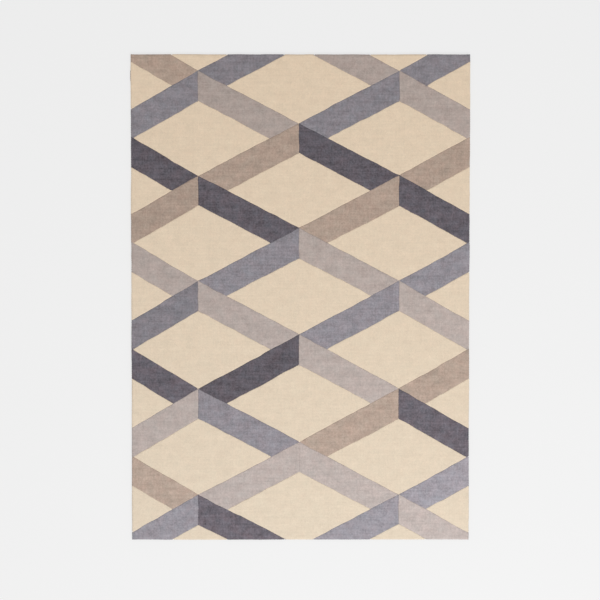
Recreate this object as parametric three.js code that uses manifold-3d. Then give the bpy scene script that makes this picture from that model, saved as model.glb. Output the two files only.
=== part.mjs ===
// Hand-tufted wool area rug: a lattice of flat ribbons on a cream ground.
// Millimetres, +Z up. The origin is the centre of the underside, and the rug's length runs along Y.
// From the floor up it is made of the hem tapes around the backing canvas, the latex coat,
// the primary cloth with its folded hem, and the pile.

import * as THREE from 'three';
import { ConvexGeometry } from 'three/addons/geometries/ConvexGeometry.js';
import { mergeVertices } from 'three/addons/utils/BufferGeometryUtils.js';
import Module from 'manifold-3d';

const wasm = await Module();
wasm.setup();

// Finished size of the pile face.
const RUG_WIDTH = 1600;
const RUG_LENGTH = 2300;

// Thickness of each layer. The tapes lie flush with the canvas, so they share one thickness.
const BACKING_THICKNESS = 1.2;
const CLOTH_THICKNESS = 0.8;
const LATEX_THICKNESS = 2.1;
const YARN_FOOT_THICKNESS = 1;
const PILE_HEIGHT = 9;
const LAYER_GAP = 0.3;

// Edge finish. The pile stands out past the folded cloth, and the tapes stay back from the fold.
const PILE_OVERHANG = 3;
const HEM_WIDTH = 32;
const TAPE_WIDTH = 45;
const TAPE_INSET = 2;

// Pile fields: the clear gap between two of them, and the edge that the shears round off.
const FIELD_GAP = 0.3;
const SHEARED_EDGE = 2.5;
const SHEARED_EDGE_STEPS = 3;

// Stencil of the lattice. It is drawn to fill the rug, so its pitches are shares of the rug's size.
// The outer columns lie past the rug's sides. Rows count from one that lies past the far end.
const COLUMN_X = [-0.85, -0.571, -0.3025, -0.0035, 0.292, 0.573, 0.85].map((share) => share * RUG_WIDTH);
const ROW_PITCH = 0.1092 * RUG_LENGTH;
const ROW_ZERO_Y = 0.6882 * RUG_LENGTH;
const LAST_ROW = 11;
const SEAM_LENGTH = 142;
// The drawn rows wander slowly up and down the rug by this much, over this many rows.
const ROW_DRIFT = 7;
const DRIFT_ROWS = 8;
const DRIFT_START_ROW = 3.5;

// Yarn of each ribbon: one line for each row of nodes, and ribbons in order from left to right.
const FIRST_RIBBON_ROW = 1;
const RIBBON_YARNS = [
  ['taupe', 'slate', 'pale', 'slate'],
  ['slate', 'pale', 'slate', 'pale'],
  ['charcoal', 'taupe', 'charcoal', 'taupe'],
  ['taupe', 'charcoal', 'taupe', 'charcoal'],
  ['pale', 'slate', 'pale', 'slate'],
  ['slate', 'pale', 'slate', 'pale'],
  ['charcoal', 'charcoal', 'pale', 'taupe'],
  ['pale', 'slate', 'taupe', 'charcoal'],
  ['taupe', 'pale', 'pale', 'slate'],
  ['slate', 'charcoal', 'slate', 'pale'],
];

// Woven side label: a blank tab caught between the left tape and the hem, near the far end.
const LABEL_LENGTH = 47;
const LABEL_FROM_END = 98;
const LABEL_SHOWS = 4;
const LABEL_TAIL = 14;
const LABEL_THICKNESS = 0.5;

// Heights that follow from the layers.
const HEM_BOTTOM = BACKING_THICKNESS + LAYER_GAP;
const HEM_TOP = HEM_BOTTOM + CLOTH_THICKNESS;
const LATEX_TOP = HEM_BOTTOM + LATEX_THICKNESS;
const CLOTH_BOTTOM = LATEX_TOP + LAYER_GAP;
const CLOTH_TOP = CLOTH_BOTTOM + CLOTH_THICKNESS;
const FOOT_BOTTOM = CLOTH_TOP + LAYER_GAP;
const FOOT_TOP = FOOT_BOTTOM + YARN_FOOT_THICKNESS;
const RIBBON_BOTTOM = FOOT_TOP + LAYER_GAP;
const PILE_TOP = FOOT_BOTTOM + PILE_HEIGHT;

// Plan sizes that follow from the edge finish.
const CLOTH_WIDTH = RUG_WIDTH - 2 * PILE_OVERHANG;
const CLOTH_LENGTH = RUG_LENGTH - 2 * PILE_OVERHANG;
const TAPED_WIDTH = CLOTH_WIDTH - 2 * TAPE_INSET;
const TAPED_LENGTH = CLOTH_LENGTH - 2 * TAPE_INSET;
const LABEL_Y = RUG_LENGTH / 2 - LABEL_FROM_END;

// Solids are joined and cut with these.

// A closed geometry as a solid.
function solidOf(geometry) {
  geometry.deleteAttribute('normal');
  geometry.deleteAttribute('uv');
  const merged = mergeVertices(geometry);
  return new wasm.Manifold(new wasm.Mesh({
    numProp: 3,
    vertProperties: merged.attributes.position.array,
    triVerts: Uint32Array.from(merged.index.array),
  }));
}

// A solid as a geometry.
function geometryOf(solid) {
  const mesh = solid.getMesh();
  const geometry = new THREE.BufferGeometry();
  geometry.setAttribute('position', new THREE.BufferAttribute(mesh.vertProperties, 3));
  geometry.setIndex(new THREE.BufferAttribute(mesh.triVerts, 1));
  geometry.computeVertexNormals();
  return geometry;
}

// A box that is centred on the rug's axis and runs from one height to another.
function centredBox(width, length, bottom, top) {
  const box = new THREE.BoxGeometry(width, length, top - bottom);
  return box.translate(0, 0, (bottom + top) / 2);
}

function cloth(color) {
  return new THREE.MeshStandardMaterial({ color, roughness: 0.95, metalness: 0 });
}

const MATERIALS = {
  cream: cloth('#e0cfb7'),
  charcoal: cloth('#676166'),
  slate: cloth('#928d92'),
  taupe: cloth('#b09d8f'),
  pale: cloth('#b6aba4'),
  primaryCloth: cloth('#d6cab2'),
  latex: new THREE.MeshStandardMaterial({ color: '#e4ddca', roughness: 0.6, metalness: 0 }),
  canvas: cloth('#cbbfa6'),
  tape: cloth('#ddd2ba'),
  label: cloth('#47303b'),
};

function namedMesh(name, geometry, material) {
  const mesh = new THREE.Mesh(geometry, material);
  mesh.name = name;
  return mesh;
}

// Outlines in the plane of the rug are convex and run counter-clockwise.

// Cuts an outline along a line and keeps the side that the inward direction points to.
function cutOutline(outline, linePoint, inward) {
  const kept = [];
  outline.forEach((corner, index) => {
    const next = outline[(index + 1) % outline.length];
    const here = corner.clone().sub(linePoint).dot(inward);
    const there = next.clone().sub(linePoint).dot(inward);
    if (here >= 0) kept.push(corner);
    if (here * there < 0) kept.push(corner.clone().lerp(next, here / (here - there)));
  });
  return kept;
}

// Moves every edge of an outline inwards by the same distance.
function insetOutline(outline, distance) {
  let inset = outline;
  outline.forEach((corner, index) => {
    const edge = outline[(index + 1) % outline.length].clone().sub(corner).normalize();
    const inward = new THREE.Vector2(-edge.y, edge.x);
    inset = cutOutline(inset, corner.clone().addScaledVector(inward, distance), inward);
  });
  return inset;
}

// Trims an outline to the rug and takes half the gap off each edge, so the rug's own sides stay put.
function trimToRug(outline) {
  const reachX = (RUG_WIDTH + FIELD_GAP) / 2;
  const reachY = (RUG_LENGTH + FIELD_GAP) / 2;
  let trimmed = THREE.ShapeUtils.isClockWise(outline) ? [...outline].reverse() : outline;
  for (const side of [-1, 1]) {
    trimmed = cutOutline(trimmed, new THREE.Vector2(side * reachX, 0), new THREE.Vector2(-side, 0));
    trimmed = cutOutline(trimmed, new THREE.Vector2(0, side * reachY), new THREE.Vector2(0, -side));
  }
  return insetOutline(trimmed, FIELD_GAP / 2);
}

// The lattice. A node stands on every other crossing of the rows and columns.

function nodeAt(row, column) {
  const drift = ROW_DRIFT * Math.sin((2 * Math.PI * (row - DRIFT_START_ROW)) / DRIFT_ROWS);
  return new THREE.Vector2(COLUMN_X[column], ROW_ZERO_Y - ROW_PITCH * row + drift);
}

// Lower end of the upright seam between the two ribbons that start at a node.
function seamFoot(row, column) {
  return nodeAt(row, column).sub(new THREE.Vector2(0, SEAM_LENGTH));
}

// Where a ribbon's lower edge meets the ribbon that crosses below it. Side is -1 left or 1 right.
function ribbonTip(row, column, side) {
  const end = nodeAt(row + 1, column + side);
  const along = end.clone().sub(nodeAt(row, column));
  const crossing = nodeAt(row + 2, column).sub(end);
  const foot = seamFoot(row, column);
  const share = end.clone().sub(foot).cross(crossing) / along.cross(crossing);
  return foot.addScaledVector(along, share);
}

function ribbonOutline(row, column, side) {
  return trimToRug([
    nodeAt(row, column),
    nodeAt(row + 1, column + side),
    ribbonTip(row, column, side),
    seamFoot(row, column),
  ]);
}

// The cream diamond that hangs below a node's seam.
function diamondOutline(row, column) {
  return trimToRug([
    seamFoot(row, column),
    ribbonTip(row, column, -1),
    nodeAt(row + 2, column),
    ribbonTip(row, column, 1),
  ]);
}

// Calls a function for each node of the stencil in one row, from left to right.
function forNodesInRow(row, visit) {
  for (let column = 1; column < COLUMN_X.length - 1; column += 1) {
    if ((row - column) % 2 === 0) visit(column);
  }
}

// One tufted field: upright sides, and a top edge rounded off by the shears.
function fieldGeometry(outline, bottom) {
  const points = outline.map(({ x, y }) => new THREE.Vector3(x, y, bottom));
  for (let step = 0; step <= SHEARED_EDGE_STEPS; step += 1) {
    const angle = (Math.PI / 2) * (step / SHEARED_EDGE_STEPS);
    const height = PILE_TOP - SHEARED_EDGE * (1 - Math.sin(angle));
    const ring = insetOutline(outline, SHEARED_EDGE * (1 - Math.cos(angle)));
    points.push(...ring.map(({ x, y }) => new THREE.Vector3(x, y, height)));
  }
  return new ConvexGeometry(points);
}

// All the cream fields stand on one thin foot of yarn, which runs on below the ribbons.
function creamGround() {
  const foot = centredBox(CLOTH_WIDTH, CLOTH_LENGTH, FOOT_BOTTOM, FOOT_TOP);
  let ground = solidOf(foot);
  for (let row = 0; row <= LAST_ROW; row += 1) {
    forNodesInRow(row, (column) => {
      const outline = diamondOutline(row, column);
      if (outline.length > 2) ground = ground.add(solidOf(fieldGeometry(outline, FOOT_BOTTOM)));
    });
  }
  return namedMesh('cream_ground_pile', geometryOf(ground), MATERIALS.cream);
}

// One ribbon field, built around the corner that it is placed by.
function ribbon(name, outline, yarn) {
  const place = outline[0].clone();
  const localOutline = outline.map((corner) => corner.clone().sub(place));
  const mesh = namedMesh(name, fieldGeometry(localOutline, RIBBON_BOTTOM), MATERIALS[yarn]);
  mesh.position.set(place.x, place.y, 0);
  return mesh;
}

// The ribbons that start in one row of nodes.
function ribbonRow(row, yarns) {
  const outlines = [];
  forNodesInRow(row, (column) => {
    for (const side of [-1, 1]) {
      const outline = ribbonOutline(row, column, side);
      if (outline.length > 2) outlines.push(outline);
    }
  });
  const group = new THREE.Group();
  outlines.forEach((outline, index) => {
    const yarn = yarns[index];
    group.add(ribbon(`${yarn}_ribbon_row${row}_no${index + 1}`, outline, yarn));
  });
  return group;
}

// The cloth that the tufts are shot through, with its edges folded under on all four sides.
function primaryCloth() {
  const pocketWidth = CLOTH_WIDTH - 2 * CLOTH_THICKNESS;
  const pocketLength = CLOTH_LENGTH - 2 * CLOTH_THICKNESS;
  const windowWidth = CLOTH_WIDTH - 2 * HEM_WIDTH;
  const windowLength = CLOTH_LENGTH - 2 * HEM_WIDTH;
  const folded = solidOf(centredBox(CLOTH_WIDTH, CLOTH_LENGTH, HEM_BOTTOM, CLOTH_TOP))
    .subtract(solidOf(centredBox(pocketWidth, pocketLength, HEM_TOP, CLOTH_BOTTOM)))
    .subtract(solidOf(centredBox(windowWidth, windowLength, 0, CLOTH_BOTTOM)));
  return namedMesh('primary_cloth', geometryOf(folded), MATERIALS.primaryCloth);
}

// Latex over the tuft backs. It reaches in above the folded hem and fills the window inside it.
function latexCoat() {
  const clearance = 2 * LAYER_GAP;
  const sheetWidth = CLOTH_WIDTH - 2 * CLOTH_THICKNESS - clearance;
  const sheetLength = CLOTH_LENGTH - 2 * CLOTH_THICKNESS - clearance;
  const windowWidth = CLOTH_WIDTH - 2 * HEM_WIDTH - clearance;
  const windowLength = CLOTH_LENGTH - 2 * HEM_WIDTH - clearance;
  const coat = solidOf(centredBox(sheetWidth, sheetLength, HEM_TOP + LAYER_GAP, LATEX_TOP))
    .add(solidOf(centredBox(windowWidth, windowLength, HEM_BOTTOM, LATEX_TOP)));
  return namedMesh('latex_coat', geometryOf(coat), MATERIALS.latex);
}

function backingCanvas() {
  const width = TAPED_WIDTH - 2 * (TAPE_WIDTH + LAYER_GAP);
  const length = TAPED_LENGTH - 2 * (TAPE_WIDTH + LAYER_GAP);
  const canvas = new THREE.BoxGeometry(width, length, BACKING_THICKNESS);
  const mesh = namedMesh('backing_canvas', canvas, MATERIALS.canvas);
  mesh.position.z = BACKING_THICKNESS / 2;
  return mesh;
}

// The tapes across the two ends run the full width, and those along the sides fit between them.
function endTape(name, direction) {
  const tape = new THREE.BoxGeometry(TAPED_WIDTH, TAPE_WIDTH, BACKING_THICKNESS);
  const mesh = namedMesh(name, tape, MATERIALS.tape);
  mesh.position.set(0, (direction * (TAPED_LENGTH - TAPE_WIDTH)) / 2, BACKING_THICKNESS / 2);
  return mesh;
}

function sideTapeGeometry() {
  const length = TAPED_LENGTH - 2 * (TAPE_WIDTH + LAYER_GAP);
  return new THREE.BoxGeometry(TAPE_WIDTH, length, BACKING_THICKNESS);
}

function placeSideTape(mesh, direction) {
  mesh.position.set((direction * (TAPED_WIDTH - TAPE_WIDTH)) / 2, 0, BACKING_THICKNESS / 2);
  return mesh;
}

function rightTape() {
  return placeSideTape(namedMesh('hem_tape_right', sideTapeGeometry(), MATERIALS.tape), 1);
}

// The left tape is pressed thinner where it passes over the label's tail.
function leftTape() {
  const seat = LABEL_THICKNESS + LAYER_GAP;
  const seatLength = LABEL_LENGTH + 2 * LAYER_GAP;
  const seatWidth = 2 * (LABEL_TAIL - TAPE_INSET + LAYER_GAP);
  const pressed = new THREE.BoxGeometry(seatWidth, seatLength, 2 * seat);
  pressed.translate(-TAPE_WIDTH / 2, LABEL_Y, BACKING_THICKNESS / 2);
  const tape = solidOf(sideTapeGeometry()).subtract(solidOf(pressed));
  return placeSideTape(namedMesh('hem_tape_left', geometryOf(tape), MATERIALS.tape), -1);
}

function sideLabel() {
  const width = LABEL_TAIL + PILE_OVERHANG + LABEL_SHOWS;
  const tab = new THREE.BoxGeometry(width, LABEL_LENGTH, LABEL_THICKNESS);
  const mesh = namedMesh('side_label', tab, MATERIALS.label);
  mesh.position.x = -(RUG_WIDTH / 2 + LABEL_SHOWS - width / 2);
  mesh.position.y = LABEL_Y;
  mesh.position.z = BACKING_THICKNESS - LABEL_THICKNESS / 2;
  return mesh;
}

const backing = new THREE.Group();
backing.add(
  backingCanvas(),
  endTape('hem_tape_far_end', 1),
  endTape('hem_tape_near_end', -1),
  rightTape(),
  leftTape(),
  sideLabel(),
  latexCoat(),
  primaryCloth(),
);

const pile = new THREE.Group();
pile.add(creamGround());
RIBBON_YARNS.forEach((yarns, index) => pile.add(ribbonRow(FIRST_RIBBON_ROW + index, yarns)));

const rug = new THREE.Group();
rug.add(backing, pile);

export default rug;
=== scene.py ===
"""Hand-tufted wool area rug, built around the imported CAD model. Metres, +Z up.

The pile is made the way the rug is: tufts stand in brick rows, each belongs to the yarn field that its
centre falls in, and the shears round off the rug's rim and carve a shallow groove wherever two yarns
meet. Below it lie the folded primary cloth, the latex, the backing canvas, the hem tapes and the side label.
"""

import math

import bpy
import numpy as np
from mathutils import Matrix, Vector


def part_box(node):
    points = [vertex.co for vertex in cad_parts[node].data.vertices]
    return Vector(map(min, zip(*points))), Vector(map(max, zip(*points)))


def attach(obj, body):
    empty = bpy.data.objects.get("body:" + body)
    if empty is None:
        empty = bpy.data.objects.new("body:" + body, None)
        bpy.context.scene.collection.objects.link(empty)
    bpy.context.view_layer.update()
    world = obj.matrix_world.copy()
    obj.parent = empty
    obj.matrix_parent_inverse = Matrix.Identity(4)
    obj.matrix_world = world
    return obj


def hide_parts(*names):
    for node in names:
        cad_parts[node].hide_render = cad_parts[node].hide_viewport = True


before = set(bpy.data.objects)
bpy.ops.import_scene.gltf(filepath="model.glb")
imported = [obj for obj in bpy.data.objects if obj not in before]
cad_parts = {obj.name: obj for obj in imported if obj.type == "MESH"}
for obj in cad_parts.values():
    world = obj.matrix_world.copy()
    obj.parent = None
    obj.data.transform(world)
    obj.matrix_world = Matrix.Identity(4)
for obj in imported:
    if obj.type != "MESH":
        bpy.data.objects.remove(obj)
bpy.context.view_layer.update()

bl_info = {
    "name": "Tufted rug builder",
    "version": (1, 0, 0),
    "blender": (4, 5, 0),
    "location": "View3D > Sidebar > Rug",
    "description": "Builds a hand-tufted wool rug with a lattice of ribbons around its CAD frame",
    "category": "Object",
}

MM = 0.001
PILE_LOW, PILE_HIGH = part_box("cream_ground_pile")
CLOTH_LOW, CLOTH_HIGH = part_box("primary_cloth")
LATEX_LOW, LATEX_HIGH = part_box("latex_coat")
CANVAS_LOW, CANVAS_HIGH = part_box("backing_canvas")
HALF_WIDTH = PILE_HIGH.x
HALF_LENGTH = PILE_HIGH.y
PILE_TOP = PILE_HIGH.z
PILE_BASE = PILE_LOW.z
CLOTH_THICKNESS = 0.8 * MM
HEM_WIDTH = 32 * MM

# How each yarn takes the light and its dye: strength of its mottling, which is partly painted nap shading,
# strength of its turns from warm to cool, how much lighter it is painted per metre across the rug and along
# it, which is painted light that grows towards the right and the near end, and how much warmer along it.
YARN_HABITS = {
    "cream": (1.0, 0.02, 0, 0, 0.027),
    "charcoal": (5.9, 0.12, 0.02, -0.15, 0),
    "slate": (3.9, 0.075, 0.06, -0.13, 0.006),
    "taupe": (2.95, 0.06, 0, -0.065, 0.013),
    "pale": (2.5, 0.045, 0.05, -0.10, 0.02),
}
# What a warmer tint does to red, green and blue: slowly along the rug, warmer towards the far end, and from
# place to place, where the dye turns.
WARMTH_ALONG = np.array([1, 0.1, -0.8])
WARMTH_NEARBY = (1, -0.3, -0.5)
# Ribbons whose dye lot came out clearly lighter or darker than the others of their yarn.
DYE_LOTS = {
    "charcoal_ribbon_row7_no2": 0.85,
    "slate_ribbon_row2_no1": 1.08,
    "slate_ribbon_row6_no1": 0.85,
    "slate_ribbon_row8_no2": 0.94,
    "slate_ribbon_row9_no4": 1.06,
    "taupe_ribbon_row1_no1": 1.06,
    "taupe_ribbon_row4_no1": 0.94,
}


# ---------------------------------------------------------------- colours and seeded patterns


def linear(hex_colour):
    """An sRGB hex colour as the linear red, green and blue that Blender's sockets take."""
    parts = [int(hex_colour[i : i + 2], 16) / 255 for i in (1, 3, 5)]
    return [p / 12.92 if p <= 0.04045 else ((p + 0.055) / 1.055) ** 2.4 for p in parts]


def smooth_noise(x, y, wave_x, wave_y, seed):
    """Seeded noise from -1 to 1 that turns over about once in each wavelength."""
    side = 512
    grid = np.random.default_rng(seed).uniform(-1, 1, (side, side))
    u, v = np.asarray(x) / wave_x + side / 2, np.asarray(y) / wave_y + side / 2
    i, j = np.floor(u).astype(int), np.floor(v).astype(int)
    s, t = u - i, v - j
    s, t = s * s * (3 - 2 * s), t * t * (3 - 2 * t)
    i0, i1, j0, j1 = i % side, (i + 1) % side, j % side, (j + 1) % side
    low = grid[j0, i0] * (1 - s) + grid[j0, i1] * s
    high = grid[j1, i0] * (1 - s) + grid[j1, i1] * s
    return low * (1 - t) + high * t


def wander(points, amount):
    """How far a hand-guided line strays from the stencil at each point, across and along the rug."""
    x, y = points[:, 0], points[:, 1]
    slow, quick, quick_share = 200 * MM, 40 * MM, 0.7
    across = smooth_noise(x, y, slow, slow, 11) + quick_share * smooth_noise(x, y, quick, quick, 12)
    along = smooth_noise(x, y, slow, slow, 13) + quick_share * smooth_noise(x, y, quick, quick, 14)
    # The rug is trimmed to a straight edge, so its rim strays less than the pattern.
    rim_share, trimmed = 0.35, 60 * MM
    inside = np.clip(np.minimum(HALF_WIDTH - np.abs(x), HALF_LENGTH - np.abs(y)) / trimmed, 0, 1)
    strength = amount * (rim_share + (1 - rim_share) * inside)
    return strength[:, None] * np.stack([across, along], axis=1)


def lie(x, y):
    """How far the rug's underside stands off the floor: nothing inside, a few low waves at the edges."""
    reach, side_length, end_length = 220 * MM, 830 * MM, 710 * MM
    side = np.clip(1 - (HALF_WIDTH - np.abs(x)) / reach, 0, 1) ** 2
    end = np.clip(1 - (HALF_LENGTH - np.abs(y)) / reach, 0, 1) ** 2
    # The waves on opposite edges start at different places, and the ends lift less than the sides.
    side_phase, end_phase, end_share = 1.7, 0.9, 0.8
    side_wave = 0.5 + 0.5 * np.sin(2 * math.pi * y / side_length + side_phase * np.sign(x))
    end_wave = 0.5 + 0.5 * np.sin(2 * math.pi * x / end_length + end_phase * np.sign(y))
    lift = bpy.context.scene.rug_backing.edge_lift
    return lift * (side * side_wave + end_share * end * end_wave)


# ---------------------------------------------------------------- settings


class RugPileSettings(bpy.types.PropertyGroup):
    """Sizes and yarn colours of the pile."""

    tuft_spacing: bpy.props.FloatProperty(
        name="Tuft spacing", description="From one tuft to the next along a row",
        default=4.8 * MM, min=3 * MM, unit="LENGTH")
    row_spacing: bpy.props.FloatProperty(
        name="Row spacing", description="From one row of tufts to the next",
        default=4.2 * MM, min=3 * MM, unit="LENGTH")
    tuft_relief: bpy.props.FloatProperty(
        name="Tuft relief", description="Height of a tuft's crown above the dips around it",
        default=1.1 * MM, min=0, unit="LENGTH")
    carve_depth: bpy.props.FloatProperty(
        name="Carved depth", description="Depth of the groove where two yarns meet",
        default=0.4 * MM, min=0, unit="LENGTH")
    carve_reach: bpy.props.FloatProperty(
        name="Carved reach", description="How far the groove's slope reaches into a field",
        default=4 * MM, min=MM, unit="LENGTH")
    rim_round: bpy.props.FloatProperty(
        name="Rim rounding", description="How far in from the edge the pile starts to round over",
        default=8 * MM, min=MM, unit="LENGTH")
    rim_drop: bpy.props.FloatProperty(
        name="Rim drop", description="How far the pile has come down at its outer edge",
        default=3.6 * MM, min=0, unit="LENGTH")
    wander: bpy.props.FloatProperty(
        name="Hand wander", description="How far the tufting strays from the stencil's lines",
        default=2.5 * MM, min=0, unit="LENGTH")
    cream: bpy.props.FloatVectorProperty(
        name="Cream yarn", description="Ground yarn", subtype="COLOR", default=linear("#deccb5"))
    charcoal: bpy.props.FloatVectorProperty(
        name="Charcoal yarn", description="Darkest ribbon yarn", subtype="COLOR", default=linear("#655f66"))
    slate: bpy.props.FloatVectorProperty(
        name="Slate yarn", description="Blue-grey ribbon yarn", subtype="COLOR", default=linear("#8f8a90"))
    taupe: bpy.props.FloatVectorProperty(
        name="Taupe yarn", description="Brown-grey ribbon yarn", subtype="COLOR", default=linear("#b09c8e"))
    pale: bpy.props.FloatVectorProperty(
        name="Pale yarn", description="Pale warm ribbon yarn", subtype="COLOR", default=linear("#b3a6a0"))


class RugBackingSettings(bpy.types.PropertyGroup):
    """Sizes and colours of the cloths, latex, tapes and label under the pile."""

    edge_lift: bpy.props.FloatProperty(
        name="Edge lift", description="How far the low waves at the rug's edges stand off the floor",
        default=1.6 * MM, min=0, unit="LENGTH")
    stitch_length: bpy.props.FloatProperty(
        name="Stitch length", description="Length of a stitch that holds a hem tape down",
        default=7 * MM, min=2 * MM, unit="LENGTH")
    stitch_gap: bpy.props.FloatProperty(
        name="Stitch gap", description="Gap between two stitches",
        default=4 * MM, min=MM, unit="LENGTH")
    thread_width: bpy.props.FloatProperty(
        name="Thread width", description="Width of the sewing thread",
        default=0.9 * MM, min=0.3 * MM, unit="LENGTH")
    cloth: bpy.props.FloatVectorProperty(
        name="Primary cloth", description="Natural cotton", subtype="COLOR", default=linear("#d6cab2"))
    latex: bpy.props.FloatVectorProperty(
        name="Latex", description="Dried latex", subtype="COLOR", default=linear("#e4ddca"))
    canvas: bpy.props.FloatVectorProperty(
        name="Canvas", description="Natural cotton canvas", subtype="COLOR", default=linear("#cbbfa6"))
    tape: bpy.props.FloatVectorProperty(
        name="Hem tape", description="Cotton tape", subtype="COLOR", default=linear("#ddd2ba"))
    thread: bpy.props.FloatVectorProperty(
        name="Thread", description="Sewing thread", subtype="COLOR", default=linear("#f0e8d4"))
    label: bpy.props.FloatVectorProperty(
        name="Label", description="Woven label cloth", subtype="COLOR", default=linear("#47303b"))


class RugStageSettings(bpy.types.PropertyGroup):
    """The floor, the light and the camera."""

    floor: bpy.props.FloatVectorProperty(
        name="Floor", description="Plain pale floor", subtype="COLOR", default=linear("#7c7c7c"))
    sky_strength: bpy.props.FloatProperty(
        name="Room light", description="Strength of the even light from all round",
        default=0.735, min=0)
    softbox_power: bpy.props.FloatProperty(
        name="Softbox power", description="Power of the large soft lamp",
        default=198, min=0, unit="POWER")
    camera_distance: bpy.props.FloatProperty(
        name="Camera distance", description="From the camera to the rug",
        default=7.9, min=1, unit="LENGTH")
    camera_lean: bpy.props.FloatProperty(
        name="Camera lean", description="How far the camera leans from straight down",
        default=math.radians(2.0), subtype="ANGLE")


# ---------------------------------------------------------------- mesh helpers


def new_piece(name, points, faces, traits=None, maps=None):
    """A smooth-shaded mesh object from points and a list of (n, k) arrays of faces with k corners each.

    traits holds named values or vectors for each point, and maps each face corner's place on the texture map.
    """
    mesh = bpy.data.meshes.new(name)
    loops = np.concatenate([f.ravel() for f in faces]).astype(np.int32)
    sizes = np.concatenate([np.full(len(f), f.shape[1]) for f in faces])
    starts = np.concatenate([[0], np.cumsum(sizes)[:-1]]).astype(np.int32)
    mesh.vertices.add(len(points))
    mesh.loops.add(len(loops))
    mesh.polygons.add(len(sizes))
    mesh.vertices.foreach_set("co", np.asarray(points, np.float32).ravel())
    mesh.loops.foreach_set("vertex_index", loops)
    mesh.polygons.foreach_set("loop_start", starts)
    mesh.polygons.foreach_set("use_smooth", np.ones(len(sizes), bool))
    for trait, values in (traits or {}).items():
        values = np.asarray(values, np.float32)
        kind, field = ("FLOAT_VECTOR", "vector") if values.ndim == 2 else ("FLOAT", "value")
        layer = mesh.attributes.new(trait, kind, "POINT")
        layer.data.foreach_set(field, values.ravel())
    if maps is not None:
        layer = mesh.uv_layers.new(name="OFBake")
        layer.uv.foreach_set("vector", np.concatenate(maps).astype(np.float32).ravel())
    mesh.update(calc_edges=True)
    if mesh.validate():
        raise RuntimeError(f"{name} has faulty faces")
    piece = bpy.data.objects.new(name, mesh)
    bpy.context.scene.collection.objects.link(piece)
    return piece


def place_piece(piece, material, slot, *nodes):
    """Gives a piece its material, lets it stand for its CAD nodes, and ties it to the rug; slot is not used.
    """
    piece.data.materials.append(material)
    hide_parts(*nodes)
    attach(piece, "root")
    return piece


def settled(points):
    """Points of a flat-built piece, raised to where the rug lies on the floor."""
    raised = np.array(points, float)
    raised[:, 2] += lie(raised[:, 0], raised[:, 1])
    return raised


def tube_grid(rows, columns):
    """Quads of a closed grid of points that wraps round in its columns."""
    r, c = np.mgrid[0 : rows - 1, 0:columns]
    after = (c + 1) % columns
    return np.stack([r * columns + c, r * columns + after, (r + 1) * columns + after, (r + 1) * columns + c],
                    axis=-1).reshape(-1, 4)


# ---------------------------------------------------------------- the pile


def field_outlines(node):
    """The plan outlines of the tufted fields in a CAD node: at most one for a ribbon, many for the ground."""
    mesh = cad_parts[node].data
    mesh.calc_loop_triangles()
    points = np.array([v.co for v in mesh.vertices])
    triangles = np.array([t.vertices for t in mesh.loop_triangles])
    # The cream fields share one foot, so only the triangles clear of it tell them apart.
    clear_of_foot, same_place, same_height = 2.5 * MM, 0.01 * MM, 0.1 * MM
    crown = triangles[(points[triangles][:, :, 2] > PILE_BASE + clear_of_foot).all(axis=1)]
    keys = [tuple(np.round(p / same_place).astype(int)) for p in points]
    group_of = {}

    def root(key):
        while group_of[key] != key:
            key = group_of[key]
        return key

    for triangle in crown:
        corners = [keys[i] for i in triangle]
        for key in corners:
            group_of.setdefault(key, key)
        for key in corners[1:]:
            group_of[root(key)] = root(corners[0])
    groups = {}
    for index in np.unique(crown):
        groups.setdefault(root(keys[index]), {})[keys[index]] = points[index]
    outlines = []
    for members in groups.values():
        ring = np.array(list(members.values()))
        ring = ring[ring[:, 2] < ring[:, 2].min() + same_height][:, :2]
        middle = ring.mean(axis=0)
        outlines.append(ring[np.argsort(np.arctan2(*(ring - middle).T[::-1]))])
    return sorted(outlines, key=lambda o: (-round(o[:, 1].max(), 2), o[:, 0].min()))


def yarn_fields():
    """Every tufted field as a name, its yarn, its CAD node and its outline."""
    fields = []
    for number, outline in enumerate(field_outlines("cream_ground_pile")):
        fields.append((f"cream_field_{number + 1:02d}", "cream", "cream_ground_pile", outline))
    for node in sorted(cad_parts):
        yarn = node.split("_")[0]
        if yarn in YARN_HABITS and yarn != "cream":
            fields.append((f"{node}_pile", yarn, node, field_outlines(node)[0]))
    return fields


def edge_lines(outline):
    """Inward directions, offsets and middles of an outline's edges, and which of them are on the rim."""
    shortest, near = 0.05 * MM, 0.5 * MM
    after = np.roll(outline, -1, axis=0)
    along = after - outline
    long_enough = np.linalg.norm(along, axis=1) > shortest
    outline, after, along = outline[long_enough], after[long_enough], along[long_enough]
    along /= np.linalg.norm(along, axis=1, keepdims=True)
    inward = np.stack([-along[:, 1], along[:, 0]], axis=1)
    both = np.stack([outline, after])
    on_side = (np.abs(np.abs(both[:, :, 0]) - HALF_WIDTH) < near).all(axis=0)
    on_end = (np.abs(np.abs(both[:, :, 1]) - HALF_LENGTH) < near).all(axis=0)
    return inward, (inward * outline).sum(axis=1), (outline + after) / 2, on_side | on_end


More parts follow.
